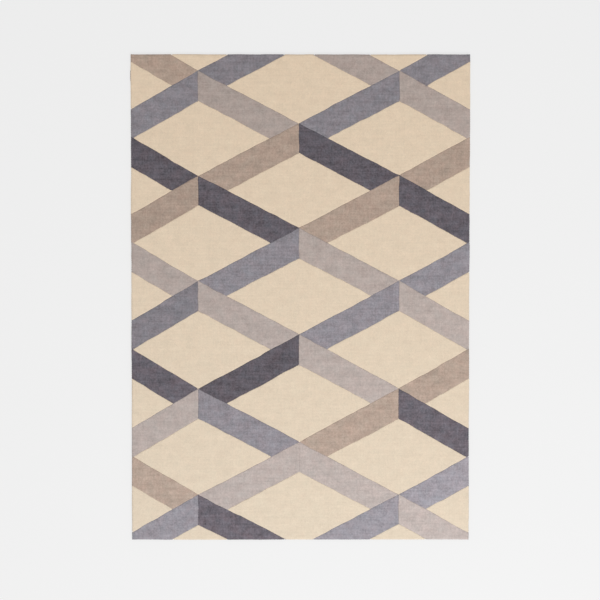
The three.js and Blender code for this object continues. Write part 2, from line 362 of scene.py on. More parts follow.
class TuftPlan:
    """Where every tuft stands, which field it belongs to, and the cell of pile that it fills.

    Tufts stand in brick rows. Three neighbours meet at each cell corner, so a cell has six corners,
    and the cells tile the rug with no gaps.
    """

    margin = 2

    def __init__(self, settings, fields):
        columns = round(2 * HALF_WIDTH / settings.tuft_spacing)
        rows = round(2 * HALF_LENGTH / settings.row_spacing)
        self.step_x, self.step_y = 2 * HALF_WIDTH / columns, 2 * HALF_LENGTH / rows
        j, i = np.mgrid[-self.margin : rows + self.margin, -self.margin : columns + self.margin]
        x = -HALF_WIDTH + (i + 0.25 + 0.5 * (j % 2)) * self.step_x
        y = -HALF_LENGTH + (j + 0.5) * self.step_y
        random = np.random.default_rng(5)
        stray = 0.17
        x = x + stray * self.step_x * random.uniform(-1, 1, x.shape)
        y = y + stray * self.step_y * random.uniform(-1, 1, y.shape)
        self.tufts = np.stack([x, y], axis=-1)
        self.tone = random.normal(0, 1, x.shape).clip(-2, 2)
        self.lines = [edge_lines(outline) for *_, outline in fields]
        self.carved = self.carved_edges([yarn for _, yarn, *_ in fields])
        self.field = self.assign_fields(i, j, columns, rows)
        self.corner_places()
        self.snap_to_stencil()
        self.corner_heights(settings)

    def carved_edges(self, yarns):
        """Which edges of each field are carved: those with another yarn across them."""
        just_across = 2 * MM
        carved = []
        for number, (inward, _, middles, rim) in enumerate(self.lines):
            across = middles - just_across * inward
            same = np.zeros(len(across), bool)
            for other, (other_inward, other_offset, *_) in enumerate(self.lines):
                if other != number and yarns[other] == yarns[number]:
                    same |= (across @ other_inward.T > other_offset).all(axis=1)
            carved.append(~(rim | same))
        return carved

    def assign_fields(self, i, j, columns, rows):
        """The field that holds each tuft's centre, or -1 outside the rug."""
        deepest = np.full(self.tufts.shape[:2], -np.inf)
        field = np.full(self.tufts.shape[:2], -1)
        for number, (inward, offset, *_) in enumerate(self.lines):
            depth = (self.tufts @ inward.T - offset).min(axis=-1)
            better = depth > deepest
            deepest[better], field[better] = depth[better], number
        inside = (i >= 0) & (i < columns) & (j >= 0) & (j < rows)
        return np.where(inside, field, -1)

    def corner_places(self):
        """The cell corners, each in the middle of three tufts, and the six corners of every cell."""
        rows, columns = self.field.shape
        gap, left = np.mgrid[0 : rows - 1, 0 : columns - 1]
        odd = gap % 2
        up = [(gap, left), (gap, left + 1), (gap + 1, left + odd)]
        down = [(gap + 1, left), (gap + 1, left + 1), (gap, left + 1 - odd)]
        trios = [[(a.ravel(), b.ravel()) for a, b in trio] for trio in (up, down)]
        self.trio = [tuple(np.concatenate(halves) for halves in zip(*pair)) for pair in zip(*trios)]
        self.corners = sum(self.tufts[place] for place in self.trio) / 3
        self.corner_tone = sum(self.tone[place] for place in self.trio) / 3
        self.corner_fields = np.stack([self.field[place] for place in self.trio], axis=1)
        self.down_start = gap.size
        self.gap_columns = columns - 1

    def cell_corners(self, j, i):
        """Numbers of the six corners of each cell, counter-clockwise, from the one up to the right."""
        odd = j % 2

        def up(row, column):
            return row * self.gap_columns + column

        def down(row, column):
            return self.down_start + row * self.gap_columns + column

        return np.stack([up(j, i), down(j, i - 1 + odd), up(j, i - 1),
                         down(j - 1, i - 1), up(j - 1, i - 1 + odd), down(j - 1, i)], axis=1)

    def neighbours(self, j, i):
        """Fields of the six tufts around each tuft, each across the cell side after a corner."""
        odd = j % 2
        around = [(j + 1, i + odd), (j + 1, i - 1 + odd), (j, i - 1),
                  (j - 1, i - 1 + odd), (j - 1, i + odd), (j, i + 1)]
        return np.stack([self.field[place] for place in around], axis=1)

    def snap_to_stencil(self):
        """Draws the cell corners between two fields most of the way onto the stencil's line.

        Those on the rim go all the way to it.
        """
        follow = 0.9
        first = self.corner_fields.max(axis=1)
        between = (self.corner_fields != first[:, None]).any(axis=1) & (first >= 0)
        for number, (inward, offset, _, rim) in enumerate(self.lines):
            mine = np.flatnonzero(between & (first == number))
            if rim.all() or not len(mine):
                continue
            depth = self.corners[mine] @ inward[~rim].T - offset[~rim]
            nearest = np.abs(depth).argmin(axis=1)
            depth = depth[np.arange(len(mine)), nearest]
            close = np.abs(depth) < self.step_y
            move = follow * depth[close, None] * inward[~rim][nearest[close]]
            self.corners[mine[close]] -= move
        self.on_rim = (self.corner_fields == -1).any(axis=1) & (first >= 0)
        self.rim_tufts = (self.corner_fields >= 0).sum(axis=1)
        x, y = self.corners.T
        to_side, to_end = HALF_WIDTH - np.abs(x), HALF_LENGTH - np.abs(y)
        near_rim = 0.6
        on_side = self.on_rim & (to_side < near_rim * self.step_x)
        on_end = self.on_rim & (to_end < near_rim * self.step_y)
        self.corners[on_side, 0] = np.sign(x[on_side]) * HALF_WIDTH
        self.corners[on_end, 1] = np.sign(y[on_end]) * HALF_LENGTH
        self.rim_normal = np.stack([np.sign(x) * on_side, np.sign(y) * on_end], axis=1)
        self.rim_normal /= np.linalg.norm(self.rim_normal, axis=1, keepdims=True).clip(1)

    def corner_heights(self, settings):
        """Heights and small chance offsets of the cell corners, which neighbouring fields share."""
        random = np.random.default_rng(6)
        first = self.corner_fields.max(axis=1)
        self.dip = np.full(len(self.corners), PILE_TOP)
        for number, lines in enumerate(self.lines):
            mine = first == number
            self.dip[mine] = pile_height(self.corners[mine], lines, self.carved[number], settings)
        shallow, deep, raggedness = 0.75, 1.2, 0.22 * MM
        self.dip -= settings.tuft_relief * random.uniform(shallow, deep, len(self.corners))
        self.ragged = random.normal(0, raggedness, len(self.corners))


def loop_order(starts, ends):
    """Chains directed edges into closed loops of point numbers."""
    after = dict(zip(starts.tolist(), ends.tolist()))
    loops = []
    while after:
        first = next(iter(after))
        loop, here = [], first
        while here in after:
            loop.append(here)
            here = after.pop(here)
        loops.append(np.array(loop))
    return loops


def pile_height(points, lines, carved, settings):
    """Height of the sheared pile at each point of a field, before the dips between its tufts."""
    inward, offset, *_ = lines
    depth = points @ inward.T - offset
    x, y = points.T
    height = np.full(len(points), PILE_TOP)
    if carved.any():
        to_border = depth[:, carved].min(axis=1).clip(0)
        height -= settings.carve_depth * np.clip(1 - to_border / settings.carve_reach, 0, 1) ** 2
    to_rim = np.minimum(HALF_WIDTH - np.abs(x), HALF_LENGTH - np.abs(y)).clip(0)
    turned = np.clip(1 - to_rim / settings.rim_round, 0, 1)
    height -= settings.rim_drop * (1 - np.sqrt(1 - turned**2))
    # The shears leave it slightly uneven: in patches, and in strokes across and along the rug.
    height += 0.25 * MM * smooth_noise(x, y, 30 * MM, 30 * MM, 21)
    height += 0.2 * MM * smooth_noise(x, y, 160 * MM, 9 * MM, 22)
    height += 0.15 * MM * smooth_noise(x, y, 12 * MM, 200 * MM, 23)
    return height


# Outer face of the pile on the rug's rim, from its shoulder down to the cloth: out from the edge, and height
# above the pile's base as a share of the shoulder's height.
RIM_PROFILE = ((0.2 * MM, 1), (1.3 * MM, 0.72), (1.0 * MM, 0.36), (-2.2 * MM, 0.03))
# The same down the hidden side of a groove between two fields.
GROOVE_PROFILE = ((0, 1), (-0.15 * MM, 0.7), (-0.15 * MM, 0.35), (-0.15 * MM, 0.03))


def dyed_with_painted_light(points, yarn, lot):
    """How much of its yarn's red, green and blue a field shows at each point: its own dye lot, painted light
    that makes it lighter towards the right and the near end, and a drift warmer towards the far end.
    """
    _, _, across, along, warmer = YARN_HABITS[yarn]
    x, y = points[:, :1], points[:, 1:2]
    return lot * (1 + across * x + along * y) * (1 + warmer * y * WARMTH_ALONG)


def field_mesh(name, number, plan, settings, yarn, lot):
    """One field of pile: domed tuft cells on top, walls down to the cloth, and a flat closed base."""
    j, i = np.nonzero(plan.field == number)
    cells = plan.cell_corners(j, i)
    used, local = np.unique(cells, return_inverse=True)
    local = local.reshape(cells.shape)
    after = np.roll(local, -1, axis=1)
    centres, corners, dip = plan.tufts[j, i].copy(), plan.corners[used].copy(), plan.dip[used]
    random = np.random.default_rng(1000 + number)
    crown = pile_height(centres, plan.lines[number], plan.carved[number], settings)
    uneven, nap_lean, belly, wall_shade = 0.15 * MM, np.array([0.1, -0.45]) * MM, 0.4 * MM, 1.4
    crown += uneven * random.normal(0, 1, len(centres)).clip(-2, 2)
    # The nap leans towards the near end, so each crown sits a little off its tuft's middle.
    centres += nap_lean
    first_corner = len(centres)
    crowns = np.repeat(np.arange(first_corner), 6)
    faces = [np.stack([crowns, first_corner + local.ravel(), first_corner + after.ravel()], axis=1)]
    total = first_corner + len(corners)
    wall_points, wall_flat, wall_corners, caps = [], [], [], []
    outer = plan.neighbours(j, i) != number
    for loop in loop_order(local[outer], after[outer]):
        ring = corners[loop]
        along = np.roll(ring, -1, axis=0) - np.roll(ring, 1, axis=0)
        along /= np.linalg.norm(along, axis=1, keepdims=True).clip(1e-9)
        outward = np.stack([along[:, 1], -along[:, 0]], axis=1)
        on_rim = plan.on_rim[used[loop]][:, None]
        outward = np.where(on_rim, plan.rim_normal[used[loop]], outward)
        # On the rim a corner between two tufts lies in a crease, and one on a single tuft on its belly.
        crease = plan.rim_tufts[used[loop]][:, None] == 2
        rough = np.where(crease, -belly, belly) + plan.ragged[used[loop]][:, None]
        above = dip[loop] - PILE_BASE
        unfolded = ring
        numbers = [first_corner + loop]
        foot_level, least_fall = len(RIM_PROFILE) - 1, 0.2 * MM
        for level, (rim, groove) in enumerate(zip(RIM_PROFILE, GROOVE_PROFILE)):
            out = np.where(on_rim, rim[0] + rough * (level < foot_level), groove[0])
            share = np.where(on_rim[:, 0], rim[1], groove[1])
            places = ring + out * outward
            if level == 0:
                corners[loop] = places
                continue
            fallen = above * (RIM_PROFILE[level - 1][1] - share)
            unfolded = unfolded + outward * fallen[:, None].clip(least_fall)
            wall_points.append(np.column_stack([places, PILE_BASE + above * share]))
            wall_flat.append(unfolded)
            wall_corners.append(used[loop])
            numbers.append(total + np.arange(len(loop)))
            total += len(loop)
        for upper, lower in zip(numbers, numbers[1:]):
            faces.append(np.stack([upper, lower, np.roll(lower, -1), np.roll(upper, -1)], axis=1))
        caps.append(numbers[-1][::-1][None])
    crowns, dips = np.column_stack([centres, crown]), np.column_stack([corners, dip])
    points = np.concatenate([crowns, dips, *wall_points])
    walls = np.concatenate(wall_corners)
    # How deep each point lies in painted shade: none on the crowns, full in the dips, deeper on the walls.
    depths = [np.zeros(len(crowns)), np.ones(len(dips)), np.full(len(walls), wall_shade)]
    traits = {
        "tuft_tone": np.concatenate([plan.tone[j, i], plan.corner_tone[used], plan.corner_tone[walls]]),
        "pile_depth": np.concatenate(depths),
        # The dye lot, with painted light that lightens the yarn towards the right and the near end.
        "dye_lot": dyed_with_painted_light(points, yarn, lot),
    }
    # On the texture map the field lies flat with its walls folded out, and its base is small in a corner.
    flat = np.concatenate([centres, corners, *wall_flat])
    low, span = flat.min(axis=0), np.ptp(flat, axis=0).max()
    field_share, base_share = 0.88, 0.1
    maps = [(flat[f.ravel()] - low) / span * field_share for f in faces]
    maps += [(flat[cap.ravel()] - low) / span * base_share + 1 - base_share for cap in caps]
    points[:, :2] += wander(points[:, :2], settings.wander)
    return new_piece(name, settled(points), faces + caps, traits, maps)


# ---------------------------------------------------------------- cloth pieces


def woven_slab(name, low, high, cell, pucker, seed, round_edge=0.0):
    """A thin sheet as a closed grid, gently puckered, between two corners of a box."""
    columns = max(2, round((high[0] - low[0]) / cell[0]) + 1)
    rows = max(2, round((high[1] - low[1]) / cell[1]) + 1)
    xs, ys = np.linspace(low[0], high[0], columns), np.linspace(low[1], high[1], rows)
    x, y = np.meshgrid(xs, ys)
    x, y = x.ravel(), y.ravel()
    pucker_length, below_share, rounded = 60 * MM, 0.6, 2 * MM
    wave = pucker * (0.5 + 0.5 * smooth_noise(x, y, pucker_length, pucker_length, seed))
    to_edge = np.minimum(np.minimum(x - low[0], high[0] - x), np.minimum(y - low[1], high[1] - y))
    thin = round_edge * np.clip(1 - to_edge / rounded, 0, 1)
    top = np.column_stack([x, y, high[2] - wave - thin])
    bottom = np.column_stack([x, y, low[2] + wave * below_share + thin])
    r, c = np.mgrid[0 : rows - 1, 0 : columns - 1]
    a = (r * columns + c).ravel()
    upper = np.stack([a, a + 1, a + columns + 1, a + columns], axis=1)
    lower = upper[:, ::-1] + len(x)
    rim = np.concatenate([np.arange(columns - 1), np.arange(rows - 1) * columns + columns - 1,
                          np.arange(rows * columns - 1, (rows - 1) * columns, -1),
                          np.arange(rows - 1, 0, -1) * columns])
    after = np.roll(rim, -1)
    wall = np.stack([rim, rim + len(x), after + len(x), after], axis=1)
    return new_piece(name, settled(np.concatenate([top, bottom])), [upper, lower, wall])


def folded_cloth(name):
    """The primary cloth as one sheet: flat under the pile, round the fold and back under as a mitred hem."""
    t = CLOTH_THICKNESS
    half_x, half_y = CLOTH_HIGH.x - t / 2, CLOTH_HIGH.y - t / 2
    top, bottom = CLOTH_HIGH.z - t / 2, CLOTH_LOW.z + t / 2
    radius = (top - bottom) / 2
    turn_steps, flat_margin = 6, 25 * MM
    # The fold's section: how far in from the outermost line, and the height.
    section = [(radius + flat_margin, top)]
    for step in range(turn_steps + 1):
        angle = math.pi * step / turn_steps
        section.append((radius * (1 - math.sin(angle)), (top + bottom) / 2 + radius * math.cos(angle)))
    for depth in (8 * MM, 16 * MM, 24 * MM, HEM_WIDTH - t / 2):
        section.append((depth, bottom))
    side_steps, end_steps = 60, 86
    rings = []
    for inset, height in section:
        w, h = half_x - inset, half_y - inset
        xs, ys = np.linspace(-w, w, side_steps + 1), np.linspace(-h, h, end_steps + 1)
        ring = np.concatenate([np.column_stack([xs[:-1], np.full(side_steps, -h)]),
                               np.column_stack([np.full(end_steps, w), ys[:-1]]),
                               np.column_stack([xs[:0:-1], np.full(side_steps, h)]),
                               np.column_stack([np.full(end_steps, -w), ys[:0:-1]])])
        rings.append(np.column_stack([ring, np.full(len(ring), height)]))
    columns = len(rings[0])
    ring_faces = tube_grid(len(rings), columns)[:, ::-1]
    # The flat middle of the sheet is a grid that takes its rim from the first ring.
    w, h = half_x - section[0][0], half_y - section[0][0]
    xs, ys = np.linspace(-w, w, side_steps + 1), np.linspace(-h, h, end_steps + 1)
    x, y = np.meshgrid(xs, ys)
    middle = np.column_stack([x.ravel(), y.ravel(), np.full(x.size, top)])
    number = len(rings) * columns + np.arange(x.size).reshape(x.shape)
    number[0, :-1] = np.arange(side_steps)
    number[:-1, -1] = side_steps + np.arange(end_steps)
    number[-1, :0:-1] = side_steps + end_steps + np.arange(side_steps)
    number[:0:-1, 0] = 2 * side_steps + end_steps + np.arange(end_steps)
    inner = np.stack([number[:-1, :-1], number[:-1, 1:], number[1:, 1:], number[1:, :-1]], axis=-1)
    points = np.concatenate(rings + [middle])
    faces = np.concatenate([ring_faces, inner.reshape(-1, 4)])
    kept, faces = np.unique(faces, return_inverse=True)
    sheet = new_piece(name, settled(points[kept]), [faces.reshape(-1, 4)])
    solidify = sheet.modifiers.new("thickness", "SOLIDIFY")
    solidify.thickness, solidify.offset = t, 0
    apply_modifiers(sheet)
    return sheet


def apply_modifiers(piece):
    """Turns a piece's modifiers into plain mesh."""
    depsgraph = bpy.context.evaluated_depsgraph_get()
    made = bpy.data.meshes.new_from_object(piece.evaluated_get(depsgraph))
    piece.modifiers.clear()
    old, piece.data = piece.data, made
    bpy.data.meshes.remove(old)
    piece.data.name = piece.name


def stitch_row(start, end, settings):
    """Points, side faces and end faces of a row of stitches on a tape's underside, from start to end."""
    start, end = np.array(start), np.array(end)
    length = np.linalg.norm(end - start)
    along = (end - start) / length
    across = np.array([-along[1], along[0]])
    pitch = settings.stitch_length + settings.stitch_gap
    count = int(length // pitch)
    # A stitch is thin where it goes into the tape and full in its middle.
    sides, sections, thin_end = 6, 5, 0.12
    points, faces, ends = [], [], []
    ring_faces = tube_grid(sections, sides)
    for k in range(count):
        middle = start + along * ((k + 0.5) * pitch)
        for s in range(sections):
            share = s / (sections - 1)
            place = middle + along * settings.stitch_length * (share - 0.5)
            swell = math.sin(math.pi * (thin_end + (1 - 2 * thin_end) * share))
            sink = (1 - swell) * settings.thread_width * 0.5
            for n in range(sides):
                angle = 2 * math.pi * n / sides
                out = across * math.cos(angle) * settings.thread_width / 2 * swell
                rise = math.sin(angle) * settings.thread_width / 3 * swell
                points.append([*(place + out), rise + sink])
        first = k * sides * sections
        faces.append(ring_faces + first)
        ends.append(np.arange(sides)[::-1] + first)
        ends.append(np.arange(sides) + first + sides * (sections - 1))
    return np.array(points), np.concatenate(faces), np.array(ends)


# ---------------------------------------------------------------- materials


def add_node(tree, kind, settings=None, **sockets):
    """Adds a node, sets its properties, and gives each named or numbered socket a value or a link."""
    node = tree.nodes.new(kind)
    for name, value in (settings or {}).items():
        setattr(node, name, value)
    for name, value in sockets.items():
        socket = node.inputs[int(name[1:])] if name[0] == "_" else node.inputs[name.replace("_", " ")]
        if isinstance(value, bpy.types.NodeSocket):
            tree.links.new(value, socket)
        else:
            socket.default_value = value
    return node


def bare_material(name):
    """An empty node material with its tree and output."""
    material = bpy.data.materials.new(name)
    material.use_nodes = True
    tree = material.node_tree
    tree.nodes.clear()
    return material, tree, tree.nodes.new("ShaderNodeOutputMaterial")


def sheared_wool(name, colour, mottle, dye_change):
    """Wool yarn, tufted and sheared to a level cut pile.

    Dull, with a soft bloom of light across the fibre ends. Brushed patches, the tufting rows both ways and
    the tone of single tufts break up the colour; the patches and the rows are partly painted shading of the
    way the nap lies. mottle is how strongly, since dark yarn shows the way its nap lies more than pale yarn
    does. dye_change is how strongly the dye turns warmer and cooler.
    """
    material, tree, output = bare_material(name)
    place = add_node(tree, "ShaderNodeTexCoord").outputs["Object"]
    tuft, depth = (add_node(tree, "ShaderNodeAttribute", {"attribute_name": trait}).outputs["Fac"]
                   for trait in ("tuft_tone", "pile_depth"))
    # The dye lot together with painted light, lighter towards the right and the near end.
    dye = add_node(tree, "ShaderNodeAttribute", {"attribute_name": "dye_lot"}).outputs["Vector"]
    brushed = add_node(tree, "ShaderNodeMapping", Vector=place, Scale=(1 / (55 * MM), 1 / (38 * MM), 1))
    lengthways = add_node(tree, "ShaderNodeMapping", Vector=place, Scale=(1 / (8 * MM), 1 / (90 * MM), 1))
    crossways = add_node(tree, "ShaderNodeMapping", Vector=place, Scale=(1 / (240 * MM), 1 / (8 * MM), 1))
    # Tufts differ from one to the next, and painted shade darkens the dips between them.
    tuft_swing, full_tone, lost_in_dips = 0.025, 1.06, 0.12
    tone = add_node(tree, "ShaderNodeMath", {"operation": "MULTIPLY_ADD"},
                    _0=tuft, _1=tuft_swing * mottle, _2=full_tone)
    tone = add_node(tree, "ShaderNodeMath", {"operation": "MULTIPLY_ADD"},
                    _0=depth, _1=-lost_in_dips, _2=tone.outputs[0]).outputs[0]
    # Each pattern swings the tone around its middle. The brushed patches and the streaks along the rows are
    # partly the yarn's own tone and partly painted shading of the way the nap lies.
    for where, strength in ((brushed, 0.15), (lengthways, 0.08), (crossways, 0.11)):
        noise = add_node(tree, "ShaderNodeTexNoise", Vector=where.outputs[0], Scale=1, Detail=3.0)
        swing = add_node(tree, "ShaderNodeMath", {"operation": "MULTIPLY_ADD"},
                         _0=noise.outputs["Fac"], _1=strength * mottle, _2=-strength * mottle / 2)
        tone = add_node(tree, "ShaderNodeMath", {"operation": "ADD"}, _0=tone, _1=swing.outputs[0]).outputs[0]
    # Fibre ends are about a fifth of a millimetre; they are drawn at a millimetre so that they show.
    fibre_size, fibre_swing, fibre_base = 1.0 * MM, 0.5, 0.75
    fibres = add_node(tree, "ShaderNodeTexNoise", Vector=place, Scale=1 / fibre_size, Detail=3.0)
    ends = add_node(tree, "ShaderNodeMath", {"operation": "MULTIPLY_ADD"},
                    _0=fibres.outputs["Fac"], _1=fibre_swing, _2=fibre_base)
    tone = add_node(tree, "ShaderNodeMath", {"operation": "MULTIPLY"}, _0=tone, _1=ends.outputs[0]).outputs[0]
    # Wool takes dye a little warmer or cooler from place to place.
    warmer = [c * (1 + dye_change * k) for c, k in zip(colour, WARMTH_NEARBY)] + [1]
    cooler = [c * (1 - dye_change * k) for c, k in zip(colour, WARMTH_NEARBY)] + [1]
    turns = add_node(tree, "ShaderNodeTexNoise", Vector=place, Scale=1 / (35 * MM), Detail=3.0)
    tint = add_node(tree, "ShaderNodeMix", {"data_type": "RGBA"},
                    _0=turns.outputs["Fac"], _6=cooler, _7=warmer)
    # The tint takes on the dye lot and the painted light.
    lot = add_node(tree, "ShaderNodeVectorMath", {"operation": "MULTIPLY"}, _0=tint.outputs[2], _1=dye)
    shade = add_node(tree, "ShaderNodeVectorMath", {"operation": "SCALE"}, _0=lot.outputs[0], Scale=tone)
    bump = add_node(tree, "ShaderNodeBump", Strength=0.6, Distance=0.6 * MM, Height=fibres.outputs["Fac"])
    wool = add_node(tree, "ShaderNodeBsdfPrincipled", Base_Color=shade.outputs[0], Roughness=0.95, IOR=1.55,
                    Specular_IOR_Level=0.2, Sheen_Weight=0.12, Sheen_Roughness=0.5, Normal=bump.outputs[0])
    tree.links.new(wool.outputs[0], output.inputs[0])
    return material


def plain_weave(name, colour, thread, contrast, roughness=0.9):
    """Plain woven cotton: one thread over, one under, both ways, so light catches a fine even grid.

    thread is the spacing from one thread to the next.
    """
    material, tree, output = bare_material(name)
    place = add_node(tree, "ShaderNodeTexCoord").outputs["Object"]
    half_turn = math.pi / thread
    turns = add_node(tree, "ShaderNodeVectorMath", {"operation": "SCALE"}, _0=place, Scale=half_turn)
    axes = add_node(tree, "ShaderNodeSeparateXYZ", Vector=turns.outputs[0])
    warp = add_node(tree, "ShaderNodeMath", {"operation": "SINE"}, _0=axes.outputs["X"])
    weft = add_node(tree, "ShaderNodeMath", {"operation": "SINE"}, _0=axes.outputs["Y"])
    weave = add_node(tree, "ShaderNodeMath", {"operation": "MULTIPLY"},
                     _0=warp.outputs[0], _1=weft.outputs[0])
    # Slubs, the thicker places in the yarn, make the cloth a little lighter or darker.
    slub_size, slub_swing, slub_base = 6 * MM, 0.22, 0.89
    slubs = add_node(tree, "ShaderNodeTexNoise", Vector=place, Scale=1 / slub_size, Detail=3.0)
    tone = add_node(tree, "ShaderNodeMath", {"operation": "MULTIPLY_ADD"},
                    _0=slubs.outputs["Fac"], _1=slub_swing, _2=slub_base)
    tone = add_node(tree, "ShaderNodeMath", {"operation": "MULTIPLY_ADD"},
                    _0=weave.outputs[0], _1=contrast, _2=tone.outputs[0])
    shade = add_node(tree, "ShaderNodeVectorMath", {"operation": "SCALE"}, _0=colour, Scale=tone.outputs[0])
    bump = add_node(tree, "ShaderNodeBump", Strength=0.6, Distance=0.25 * MM, Height=weave.outputs[0])
    cotton = add_node(tree, "ShaderNodeBsdfPrincipled", Base_Color=shade.outputs[0], Roughness=roughness,
                      IOR=1.53, Sheen_Weight=0.1, Normal=bump.outputs[0])
    tree.links.new(cotton.outputs[0], output.inputs[0])
    return material


def herringbone_tape(name, colour):
    """Cotton herringbone tape: twill lines that turn back every few millimetres across the tape."""
    material, tree, output = bare_material(name)
    place = add_node(tree, "ShaderNodeTexCoord").outputs["Object"]
    axes = add_node(tree, "ShaderNodeSeparateXYZ", Vector=place)
    turn, twill = 6 * MM, 1.5 * MM
    zigzag = add_node(tree, "ShaderNodeMath", {"operation": "PINGPONG"}, _0=axes.outputs["X"], _1=turn)
    slant = add_node(tree, "ShaderNodeMath", {"operation": "ADD"}, _0=zigzag.outputs[0], _1=axes.outputs["Y"])
    angle = add_node(tree, "ShaderNodeMath", {"operation": "MULTIPLY"},
                     _0=slant.outputs[0], _1=2 * math.pi / twill)
    lines = add_node(tree, "ShaderNodeMath", {"operation": "SINE"}, _0=angle.outputs[0])
    slub_size, slub_swing, slub_base, line_swing = 5 * MM, 0.16, 0.92, 0.05
    slubs = add_node(tree, "ShaderNodeTexNoise", Vector=place, Scale=1 / slub_size, Detail=2.0)
    tone = add_node(tree, "ShaderNodeMath", {"operation": "MULTIPLY_ADD"},
                    _0=slubs.outputs["Fac"], _1=slub_swing, _2=slub_base)
    tone = add_node(tree, "ShaderNodeMath", {"operation": "MULTIPLY_ADD"},
                    _0=lines.outputs[0], _1=line_swing, _2=tone.outputs[0])
    shade = add_node(tree, "ShaderNodeVectorMath", {"operation": "SCALE"}, _0=colour, Scale=tone.outputs[0])
    bump = add_node(tree, "ShaderNodeBump", Strength=0.6, Distance=0.3 * MM, Height=lines.outputs[0])
    tape = add_node(tree, "ShaderNodeBsdfPrincipled", Base_Color=shade.outputs[0], Roughness=0.85,
                    IOR=1.53, Sheen_Weight=0.1, Normal=bump.outputs[0])
    tree.links.new(tape.outputs[0], output.inputs[0])
    return material


def spread_latex(name, colour):
    """Latex spread with a comb and dried: dull cream rubber with soft ridges and a few thin spots."""
    material, tree, output = bare_material(name)
    place = add_node(tree, "ShaderNodeTexCoord").outputs["Object"]
    comb = add_node(tree, "ShaderNodeMapping", Vector=place, Scale=(1 / (60 * MM), 1 / (5 * MM), 1))
    ridges = add_node(tree, "ShaderNodeTexNoise", Vector=comb.outputs[0], Scale=1.0, Detail=3.0)
    thin_spot = 0.86
    darker = [c * thin_spot for c in colour] + [1]
    shade = add_node(tree, "ShaderNodeMix", {"data_type": "RGBA"}, _0=ridges.outputs["Fac"],
                     _6=darker, _7=[*colour, 1])
    bump = add_node(tree, "ShaderNodeBump", Strength=0.5, Distance=0.5 * MM, Height=ridges.outputs["Fac"])
    latex = add_node(tree, "ShaderNodeBsdfPrincipled", Base_Color=shade.outputs[2], Roughness=0.6,
                     IOR=1.52, Normal=bump.outputs[0])
    tree.links.new(latex.outputs[0], output.inputs[0])
    return material


def matt_floor(name, colour, glow):
    """Plain matt studio floor that gives back some light of its own, so that it stays even."""
    material, tree, output = bare_material(name)
    paint = add_node(tree, "ShaderNodeBsdfPrincipled", Base_Color=[*colour, 1], Roughness=1.0,
                     Specular_IOR_Level=0, Emission_Color=[1, 1, 1, 1], Emission_Strength=glow)
    tree.links.new(paint.outputs[0], output.inputs[0])
    return material


# ---------------------------------------------------------------- operators


class RUG_OT_tuft_pile(bpy.types.Operator):
    """Tuft every yarn field of the pile, the cream ground and the ribbons"""

    bl_idname = "rug.tuft_pile"
    bl_label = "Pile Fields"

    def execute(self, context):
        settings = context.scene.rug_pile
        fields = yarn_fields()
        if len(fields) != len(set(name for name, *_ in fields)):
            raise RuntimeError("two pile fields have the same name")
        plan = TuftPlan(settings, fields)
        wools = {}
        for yarn, (mottle, change, *_) in YARN_HABITS.items():
            finish = f"{yarn.capitalize()} cut-pile wool"
            wools[yarn] = sheared_wool(finish, getattr(settings, yarn), mottle, change)
        for number, (name, yarn, node, _) in enumerate(fields):
            piece = field_mesh(name, number, plan, settings, yarn, DYE_LOTS.get(node, 1))
            place_piece(piece, wools[yarn], f"{yarn}_pile", node)
        return {"FINISHED"}


class RUG_OT_primary_cloth(bpy.types.Operator):
    """Lay the primary cloth and fold its edges under"""

    bl_idname = "rug.primary_cloth"
    bl_label = "Primary Cloth"

    def execute(self, context):
        settings = context.scene.rug_backing
        piece = folded_cloth("primary_cloth_folded")
        # The cloth's threads lie a little over a millimetre apart.
        cloth = plain_weave("Plain woven natural cotton", settings.cloth, thread=1.2 * MM, contrast=0.06)
        place_piece(piece, cloth, "primary_cloth", "primary_cloth")
        return {"FINISHED"}


class RUG_OT_latex_coat(bpy.types.Operator):
    """Spread the latex over the tuft backs"""

    bl_idname = "rug.latex_coat"
    bl_label = "Latex Coat"

    def execute(self, context):
        settings = context.scene.rug_backing
        # The coat stays clear of the hem folded under it.
        above_hem = 0.2 * MM
        low = (LATEX_LOW.x, LATEX_LOW.y, CLOTH_LOW.z + CLOTH_THICKNESS + above_hem)
        piece = woven_slab("latex_coat_spread", low, LATEX_HIGH,
                           cell=(20 * MM, 8 * MM), pucker=0.25 * MM, seed=31)
        place_piece(piece, spread_latex("Dried latex", settings.latex), "latex", "latex_coat")
        return {"FINISHED"}


class RUG_OT_backing_canvas(bpy.types.Operator):
    """Cover the latex with the backing canvas"""

    bl_idname = "rug.backing_canvas"
    bl_label = "Backing Canvas"

    def execute(self, context):
        settings = context.scene.rug_backing
        piece = woven_slab("backing_canvas_sheet", CANVAS_LOW, CANVAS_HIGH,
                           cell=(14 * MM, 14 * MM), pucker=0.3 * MM, seed=41)
        # Canvas threads lie about 1.5 mm apart; they are drawn at 2 mm so that the grid shows.
        canvas = plain_weave("Natural cotton canvas", settings.canvas, thread=2.0 * MM, contrast=0.09)
        place_piece(piece, canvas, "canvas", "backing_canvas")
        return {"FINISHED"}


